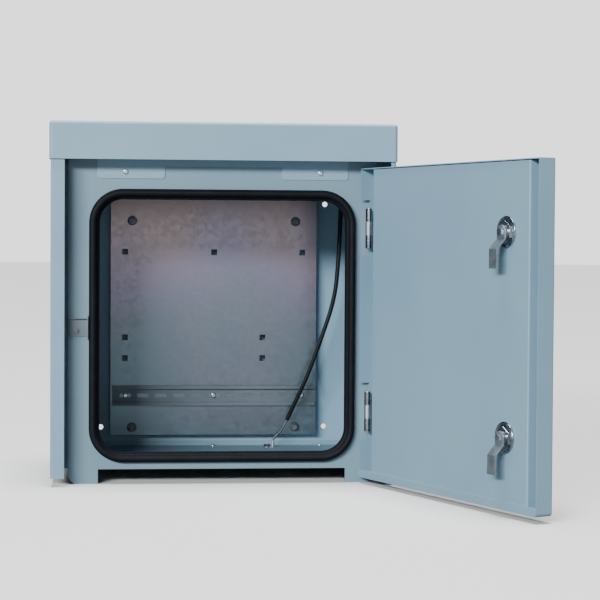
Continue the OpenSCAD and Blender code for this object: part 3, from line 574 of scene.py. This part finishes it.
# the section is drawn along each side of the opening and spun round each corner
def addTrim(values):
    low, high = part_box("opening_gasket")
    middle = (low + high) / 2
    face = high.y - values["wall"] - values["frameSheet"]
    a, b, r = values["openingWidth"] / 2, values["openingHeight"] / 2, values["cornerRadius"]
    section = trimSection(values)
    deselectAll()
    bpy.ops.mesh.primitive_circle_add(vertices=len(section), radius=b, fill_type="NOTHING")
    trim = bpy.context.object
    trim.name = "openingTrim"
    for vertex, (out, ahead) in zip(trim.data.vertices, section):
        vertex.co = (middle.x + a + out, face - ahead, middle.z - b + r)
    startEdit(trim)
    bpy.ops.mesh.select_mode(type="EDGE")
    bpy.ops.mesh.select_all(action="SELECT")
    sides = [((0, 0, 2 * (b - r)), (a - r, b - r)), ((-2 * (a - r), 0, 0), (r - a, b - r)),
             ((0, 0, -2 * (b - r)), (r - a, r - b)), ((2 * (a - r), 0, 0), (a - r, r - b))]
    for run, (x, z) in sides:
        bpy.ops.mesh.extrude_region_move(TRANSFORM_OT_translate={"value": run})
        bpy.ops.mesh.spin(steps=values["cornerSteps"], angle=math.pi / 2, axis=(0, 1, 0),
                          center=(middle.x + x, 0, middle.z + z))
    bpy.ops.mesh.select_all(action="SELECT")
    bpy.ops.mesh.remove_doubles(threshold=values["merge"])
    bpy.ops.mesh.normals_make_consistent(inside=False)
    endEdit()
    finishPiece(trim, trimRubber, "opening_gasket", angle=40)


addTrim(trimValues)
print("trim made")


# door: outer tray and raised inner pan, both made closed and then swung open

trayValues = {
    "sheet": 1.5 * mm, "bend": 3 * mm, "bendSegments": 4, "freeCorner": 5 * mm, "cornerSegments": 5,
    "lipHeight": 13 * mm, "lipInset": 1.35 * mm, "lipRound": 0.6 * mm, "lipSegments": 2,
    "notchHeight": 92 * mm, "notchReach": 17.5 * mm,
}
panValues = {"sheet": 1.5 * mm, "bend": 2.5 * mm, "bendSegments": 4, "gap": 1.2 * mm}


def addDoorTray(values):
    low, high = doorBox("door_skin")
    tray = addBlock("doorTray", low, high)
    startEdit(tray)
    pickEdges(tray, lambda a, b: bothAt(a, b, "x", low.x) and bothAt(a, b, "z", low.z))
    bpy.ops.mesh.bevel(offset=values["freeCorner"], segments=values["cornerSegments"], affect="EDGES")
    pickEdges(tray, lambda a, b: bothAt(a, b, "y", low.y))
    bpy.ops.mesh.bevel(offset=values["bend"], segments=values["bendSegments"], affect="EDGES")
    endEdit()
    makeSheet(tray, values["sheet"], lambda normal: normal.y > straight)
    # a notch in the hinge side's wall gives each hinge leaf its room
    for box in solidBoxes("hinge_door_leaf_upper", doorTurn) + solidBoxes("hinge_door_leaf_lower", doorTurn):
        level, reach = (box[0].z + box[1].z) / 2, values["notchHeight"] / 2
        bottom = (high.x - 2 * values["sheet"], high.y - values["notchReach"], level - reach)
        cutAway(tray, addBlock("notch", bottom, (high.x + mm, high.y + mm, level + reach)))
    inset = values["lipInset"]
    lip = addBlock("lip", (low.x + inset, high.y - values["sheet"], low.z + inset),
                   (high.x - inset, high.y, low.z + values["lipHeight"]))
    startEdit(lip)
    pickEdges(lip, lambda a, b: bothAt(a, b, "z", low.z + values["lipHeight"]))
    bpy.ops.mesh.bevel(offset=values["lipRound"], segments=values["lipSegments"], affect="EDGES")
    endEdit()
    tray = joinPieces("doorTray", [tray, lip])
    tray.data.transform(doorTurn)
    finishPiece(tray, outerCoat, "door_skin")


def addDoorPan(values):
    low, high = doorBox("door_inner_pan")
    high.z -= values["gap"]
    pan = addBlock("doorPan", low, high)
    startEdit(pan)
    pickEdges(pan, lambda a, b: near(a.x, b.x) and bothAt(a, b, "y", high.y))
    bpy.ops.mesh.bevel(offset=values["bend"], segments=values["bendSegments"], affect="EDGES")
    endEdit()
    makeSheet(pan, values["sheet"], lambda normal: normal.y < -straight or abs(normal.z) > straight)
    pan.data.transform(doorTurn)
    finishPiece(pan, outerCoat, "door_inner_pan")


addDoorTray(trayValues)
addDoorPan(panValues)
print("door made")


# cam locks

collarValues = {
    "rimHeight": 3.2 * mm, "sides": 64, "rimRound": 1.4 * mm, "rimSegments": 4,
    "dish": ((1.2 * mm, 0), (1.0 * mm, -0.9 * mm), (2.6 * mm, 0.1 * mm)),  # each ring's width and depth
    "nutAcross": 28 * mm, "nutRound": 0.9 * mm, "nutSegments": 2,
}
camValues = {
    "width": 20 * mm, "thickness": 3 * mm, "length": 52 * mm, "hubEnd": 10 * mm, "crankEnd": 24 * mm,
    "crank": 13 * mm, "hubShare": 0.98, "hubSegments": 8, "edge": 0.5 * mm, "edgeSegments": 2, "sharp": 50,
}


# a dished rim with a hexagon nut on it, standing up along z
def makeCollar(values, radius, height):
    rim = addDisc("collar", radius, values["rimHeight"], values["sides"])
    roundTop(rim, values["rimHeight"], values["rimRound"], values["rimSegments"])
    startEdit(rim)
    pickFaces(rim, lambda normal: normal.z > straight)
    for width, depth in values["dish"]:
        bpy.ops.mesh.inset(thickness=width, depth=depth)
    endEdit()
    nut = addDisc("nut", hexagonRadius(values["nutAcross"]), height, 6)
    roundTop(nut, height, values["nutRound"], values["nutSegments"])
    return joinPieces("collar", [rim, nut])


# a round hub about the lock's axis, and a cranked arm that hangs down from it
def makeCam(values):
    half = values["width"] / 2
    cam = addBlock("cam", (-half, 0, -values["hubEnd"]), (half, values["thickness"], half))
    startEdit(cam)
    pickEdges(cam, lambda a, b: bothAt(a, b, "z", half) and near(a.x, b.x))
    bpy.ops.mesh.bevel(offset=half * values["hubShare"], segments=values["hubSegments"], affect="EDGES")
    pickFaces(cam, lambda normal: normal.z < -straight)
    for ahead, down in ((values["crank"], values["crankEnd"] - values["hubEnd"]),
                        (0, values["length"] - values["crankEnd"])):
        bpy.ops.mesh.extrude_region_move(TRANSFORM_OT_translate={"value": (0, ahead, -down)})
    endEdit()
    applyModifier(cam, "BEVEL", width=values["edge"], segments=values["edgeSegments"], limit_method="ANGLE",
                  angle_limit=math.radians(values["sharp"]))
    return cam


def addLocks():
    low, high = doorBox("lock_collar_upper")
    collar = makeCollar(collarValues, (high.z - low.z) / 2, high.y - low.y)
    cam = makeCam(camValues)
    layBack = Matrix.Rotation(math.radians(-90), 4, "X")
    for which in ("upper", "lower"):
        low, high = doorBox("lock_collar_" + which)
        place = Matrix.Translation(((low.x + high.x) / 2, low.y, (low.z + high.z) / 2))
        piece = copyOf(collar, which + "LockCollar", doorTurn @ place @ layBack)
        finishPiece(piece, castMetal, "lock_collar_" + which, angle=25)
        low, high = doorBox("lock_cam_" + which)
        place = Matrix.Translation(((low.x + high.x) / 2, low.y, low.z + camValues["length"]))
        piece = copyOf(cam, which + "LockCam", doorTurn @ place)
        finishPiece(piece, satinZinc, "lock_cam_" + which, angle=25)
        softenedCopy("lock_housing_" + which, which + "LockHousing", 0.5 * mm, castMetal)
        softenedCopy("lock_core_" + which, which + "LockCore", 0.3 * mm, brightZinc)
        softenedCopy("cam_screw_" + which, which + "CamScrew", 0.5 * mm, brightZinc)
    bpy.data.objects.remove(collar)
    bpy.data.objects.remove(cam)


addLocks()
print("locks made")


# screws, nuts and studs

screwValues = {
    "head": 9 * mm, "headHeight": 2.5 * mm, "dome": 0.72, "domeSegments": 5,
    "slot": 1.0 * mm, "slotDepth": 1.4 * mm, "slotReach": 0.29, "shank": 5 * mm, "shankSides": 16,
}
nutValues = {
    "across": 12.8 * mm, "round": 0.8 * mm, "segments": 2, "flange": 16.8 * mm, "flangeHeight": 1.6 * mm,
    "flangeSides": 40, "flangeRound": 0.7 * mm, "flangeSegments": 3,
}
studValues = {"sides": 24, "threaded": 12 * mm, "pitch": 1.25 * mm, "threadDepth": 0.5 * mm}


# a pan head with a cross recess, its seat at z = 0 and the head upwards
def makeScrewHead(values):
    height = values["headHeight"]
    head = addDisc("screwHead", values["head"] / 2, height)
    roundTop(head, height, height * values["dome"], values["domeSegments"])
    reach, half = values["head"] * values["slotReach"], values["slot"] / 2
    for x, y in ((reach, half), (half, reach)):
        cutAway(head, addBlock("slot", (-x, -y, height - values["slotDepth"]), (x, y, 2 * height)))
    return head


screwHead = makeScrewHead(screwValues)
screwShank = addDisc("screwShank", 0.5, 1, screwValues["shankSides"])  # of unit size, to be stretched


# the ways that a head or a nut can face
upwards, forwards, inwards = Vector((0, 0, 1)), Vector((0, -1, 0)), Vector((0, 1, 0))


def facing(away):
    return upwards.rotation_difference(away).to_matrix().to_4x4()


# a head for each solid of a node, and the shank's stub behind it, whose end shows from the other side
def addScrewPiece(name, node, awayOf, size=1.0, turn=Matrix.Identity(4)):
    headHeight, wide = screwValues["headHeight"], screwValues["shank"] * size
    pieces = []
    for low, high in solidBoxes(node, turn):
        away = awayOf(low)
        middle = (low + high) / 2
        reach = Vector([share * extent / 2 for share, extent in zip(away, high - low)])
        seat = turn @ Matrix.Translation(middle + reach - headHeight * away) @ facing(away)
        end = turn @ Matrix.Translation(middle - reach) @ facing(away)
        length = 2 * reach.length - headHeight
        pieces.append(copyOf(screwHead, "head", seat @ Matrix.Diagonal((size, size, 1, 1))))
        pieces.append(copyOf(screwShank, "shank", end @ Matrix.Diagonal((wide, wide, length, 1))))
    finishPiece(joinPieces(name, pieces), brightZinc, node, angle=30)


addScrewPiece("floorScrews", "floor_screws", lambda low: upwards)
addScrewPiece("glandPlateScrews", "gland_plate_screws", lambda low: upwards)
addScrewPiece("railScrews", "din_rail_screws", lambda low: forwards)
addScrewPiece("hingeFrameScrews", "hinge_frame_screws", lambda low: inwards, 8 / 9)
addScrewPiece("hingeDoorScrews", "hinge_door_screws", lambda low: inwards, 8 / 9, doorTurn)
# two screws hold the tabs from the front and two hold the canopy from the back
addScrewPiece("canopyScrews", "canopy_screws", lambda low: forwards if low.y < 0 else inwards)


def makeFlangeNut(values, height):
    flange = addDisc("nut", values["flange"] / 2, values["flangeHeight"], values["flangeSides"])
    roundTop(flange, values["flangeHeight"], values["flangeRound"], values["flangeSegments"])
    hexagon = addDisc("hexagon", hexagonRadius(values["across"]), height, 6)
    roundTop(hexagon, height, values["round"], values["segments"])
    return joinPieces("nut", [flange, hexagon])


# a threaded end: rings pressed in and out along the stud's last stretch
def makeStud(values, radius, length):
    top = length - values["threaded"]
    half = values["pitch"] / 2
    small = 1 - values["threadDepth"] / radius
    stud = addDisc("stud", radius, top, values["sides"])
    startEdit(stud)
    pickFaces(stud, lambda normal: normal.z > straight)
    for _ in range(int(values["threaded"] / values["pitch"])):
        for size in (small, 1 / small):
            top += half
            bpy.ops.mesh.extrude_region_move(TRANSFORM_OT_translate={"value": (0, 0, half)})
            bpy.ops.transform.resize(value=(size, size, 1), center_override=(0, 0, top))
    endEdit()
    return stud


# a model facing forwards at each solid's back end
def addForwardCopies(model, name, node, material):
    pieces = []
    for low, high in solidBoxes(node):
        seat = ((low.x + high.x) / 2, high.y, (low.z + high.z) / 2)
        pieces.append(copyOf(model, "copy", Matrix.Translation(seat) @ facing(forwards)))
    finishPiece(joinPieces(name, pieces), material, node, angle=25)


low, high = solidBoxes("plate_nuts")[0]
flangeNut = makeFlangeNut(nutValues, high.y - low.y)
addForwardCopies(flangeNut, "plateNuts", "plate_nuts", dullZinc)
low, high = solidBoxes("plate_studs")[0]
plateStud = makeStud(studValues, (high.x - low.x) / 2, high.y - low.y)
addForwardCopies(plateStud, "plateStuds", "plate_studs", railZinc)
for model in (screwHead, screwShank, flangeNut, plateStud):
    bpy.data.objects.remove(model)
print("fixings made")


# smaller plated and folded parts, with broken edges

for node, name, width, material in (
    ("canopy_fixing_strip", "canopyFixingStrip", 0.4 * mm, outerCoat),
    ("din_rail", "topHatRail", 0.45 * mm, railZinc),
    ("centre_bracket", "centreBracket", 0.5 * mm, railZinc),
    ("centre_bracket_rivet", "bracketRivet", 0.5 * mm, dullZinc),
    ("hinge_frame_leaf_upper", "frameLeafUpper", 0.7 * mm, castMetal),
    ("hinge_frame_leaf_lower", "frameLeafLower", 0.7 * mm, castMetal),
    ("hinge_door_leaf_upper", "doorLeafUpper", 0.7 * mm, satinZinc),
    ("hinge_door_leaf_lower", "doorLeafLower", 0.7 * mm, satinZinc),
    ("hinge_pin_upper", "hingePinUpper", 0.5 * mm, brightZinc),
    ("hinge_pin_lower", "hingePinLower", 0.5 * mm, brightZinc),
    ("earth_lug_upper", "earthLugUpper", 0.3 * mm, brightZinc),
    ("earth_lug_lower", "earthLugLower", 0.3 * mm, satinZinc),
    ("earth_bolts", "earthBolts", 0.5 * mm, dullZinc),
    ("plate_spacers", "plateSpacers", 0.5 * mm, brightZinc),
):
    softenedCopy(node, name, width, material)
print("small parts made")


# CAD nodes that keep their own shape

# the frame, the floor and the top panel take the powder coat drawn darker, as painted shade
for node, material in {
    "body_shell": outerCoat, "front_frame": coatDarkenedForShade, "base_floor": coatDarkenedForShade, "top_panel": coatDarkenedForShade,
    "gland_plate": railZinc, "mounting_plate": plateZinc,
}.items():
    data = frame["nodes"][node].data
    data.materials.clear()
    data.materials.append(material)
print("coated nodes done")


# stage and light

stageValues = {
    "floorSize": 60, "floorColour": "#f6f6f5", "floorRoughness": 0.9, "bounceColour": "#616161",
    "backdropColour": "#ffffff", "backdropStrength": 1.9,
}
keyValues = {
    "azimuth": 29, "elevation": 20, "distance": 10.0, "aim": (0, 0, 0.3), "width": 5.2, "height": 1.2,
    "power": 1330,
}
topValues = {"elevation": 86, "distance": 4, "softness": 30, "strength": 5.0}
fillValues = {"place": (0.2, -3.4, 0.62), "aim": (0.2, 0, 0.62), "size": 1.2, "power": 6}


# the floor and the room are pale to the camera alone, so that the light on the object comes from the lamps
def addStage(values):
    deselectAll()
    bpy.ops.mesh.primitive_plane_add(size=values["floorSize"])
    floor = bpy.context.object
    floor.name = "floor"
    material, tree, shader = startMaterial("paleFloor")[:3]
    seen = addNode(tree, "ShaderNodeLightPath").outputs["Is Camera Ray"]
    bounced, shown = linearColour(values["bounceColour"]), linearColour(values["floorColour"])
    mixing = {"data_type": "RGBA", 6: bounced, 7: shown}
    tint = addNode(tree, "ShaderNodeMix", mixing, {"Factor": seen}).outputs[2]
    tree.links.new(tint, shader.inputs["Base Color"])
    shader.inputs["Roughness"].default_value = values["floorRoughness"]
    floor.data.materials.append(material)
    world = bpy.data.worlds.new("studio")
    world.use_nodes = True
    tree = world.node_tree
    backdrop = next(n for n in tree.nodes if n.type == "BACKGROUND")
    backdrop.inputs["Color"].default_value = linearColour(values["backdropColour"])
    seen = addNode(tree, "ShaderNodeLightPath").outputs["Is Camera Ray"]
    scaling = {"operation": "MULTIPLY", 1: values["backdropStrength"]}
    strength = addNode(tree, "ShaderNodeMath", scaling, {0: seen}).outputs[0]
    tree.links.new(strength, backdrop.inputs["Strength"])
    bpy.context.scene.world = world


def placeLight(name, data, place, aim):
    light = bpy.data.objects.new(name, data)
    bpy.context.scene.collection.objects.link(light)
    light.location = place
    light.rotation_mode = "QUATERNION"
    light.rotation_quaternion = (Vector(place) - Vector(aim)).to_track_quat("Z", "Y")


# a wide softbox low on the upper left, a soft light straight above, and a weak one beside the camera
def addLights(key, top, fill):
    left, up = math.radians(key["azimuth"]), math.radians(key["elevation"])
    toKey = Vector((-math.sin(left) * math.cos(up), -math.cos(left) * math.cos(up), math.sin(up)))
    data = bpy.data.lights.new("keySoftbox", "AREA")
    data.shape = "RECTANGLE"
    data.size, data.size_y = key["width"], key["height"]
    data.energy = key["power"]
    placeLight("keySoftbox", data, key["distance"] * toKey, key["aim"])
    data = bpy.data.lights.new("topLight", "SUN")
    data.energy = top["strength"]
    data.angle = math.radians(top["softness"])
    up = math.radians(top["elevation"])
    placeLight("topLight", data, top["distance"] * Vector((0, -math.cos(up), math.sin(up))), (0, 0, 0))
    data = bpy.data.lights.new("frontFill", "AREA")
    data.size = fill["size"]
    data.energy = fill["power"]
    placeLight("frontFill", data, fill["place"], fill["aim"])


addStage(stageValues)
addLights(keyValues, topValues, fillValues)
print("stage and light made")
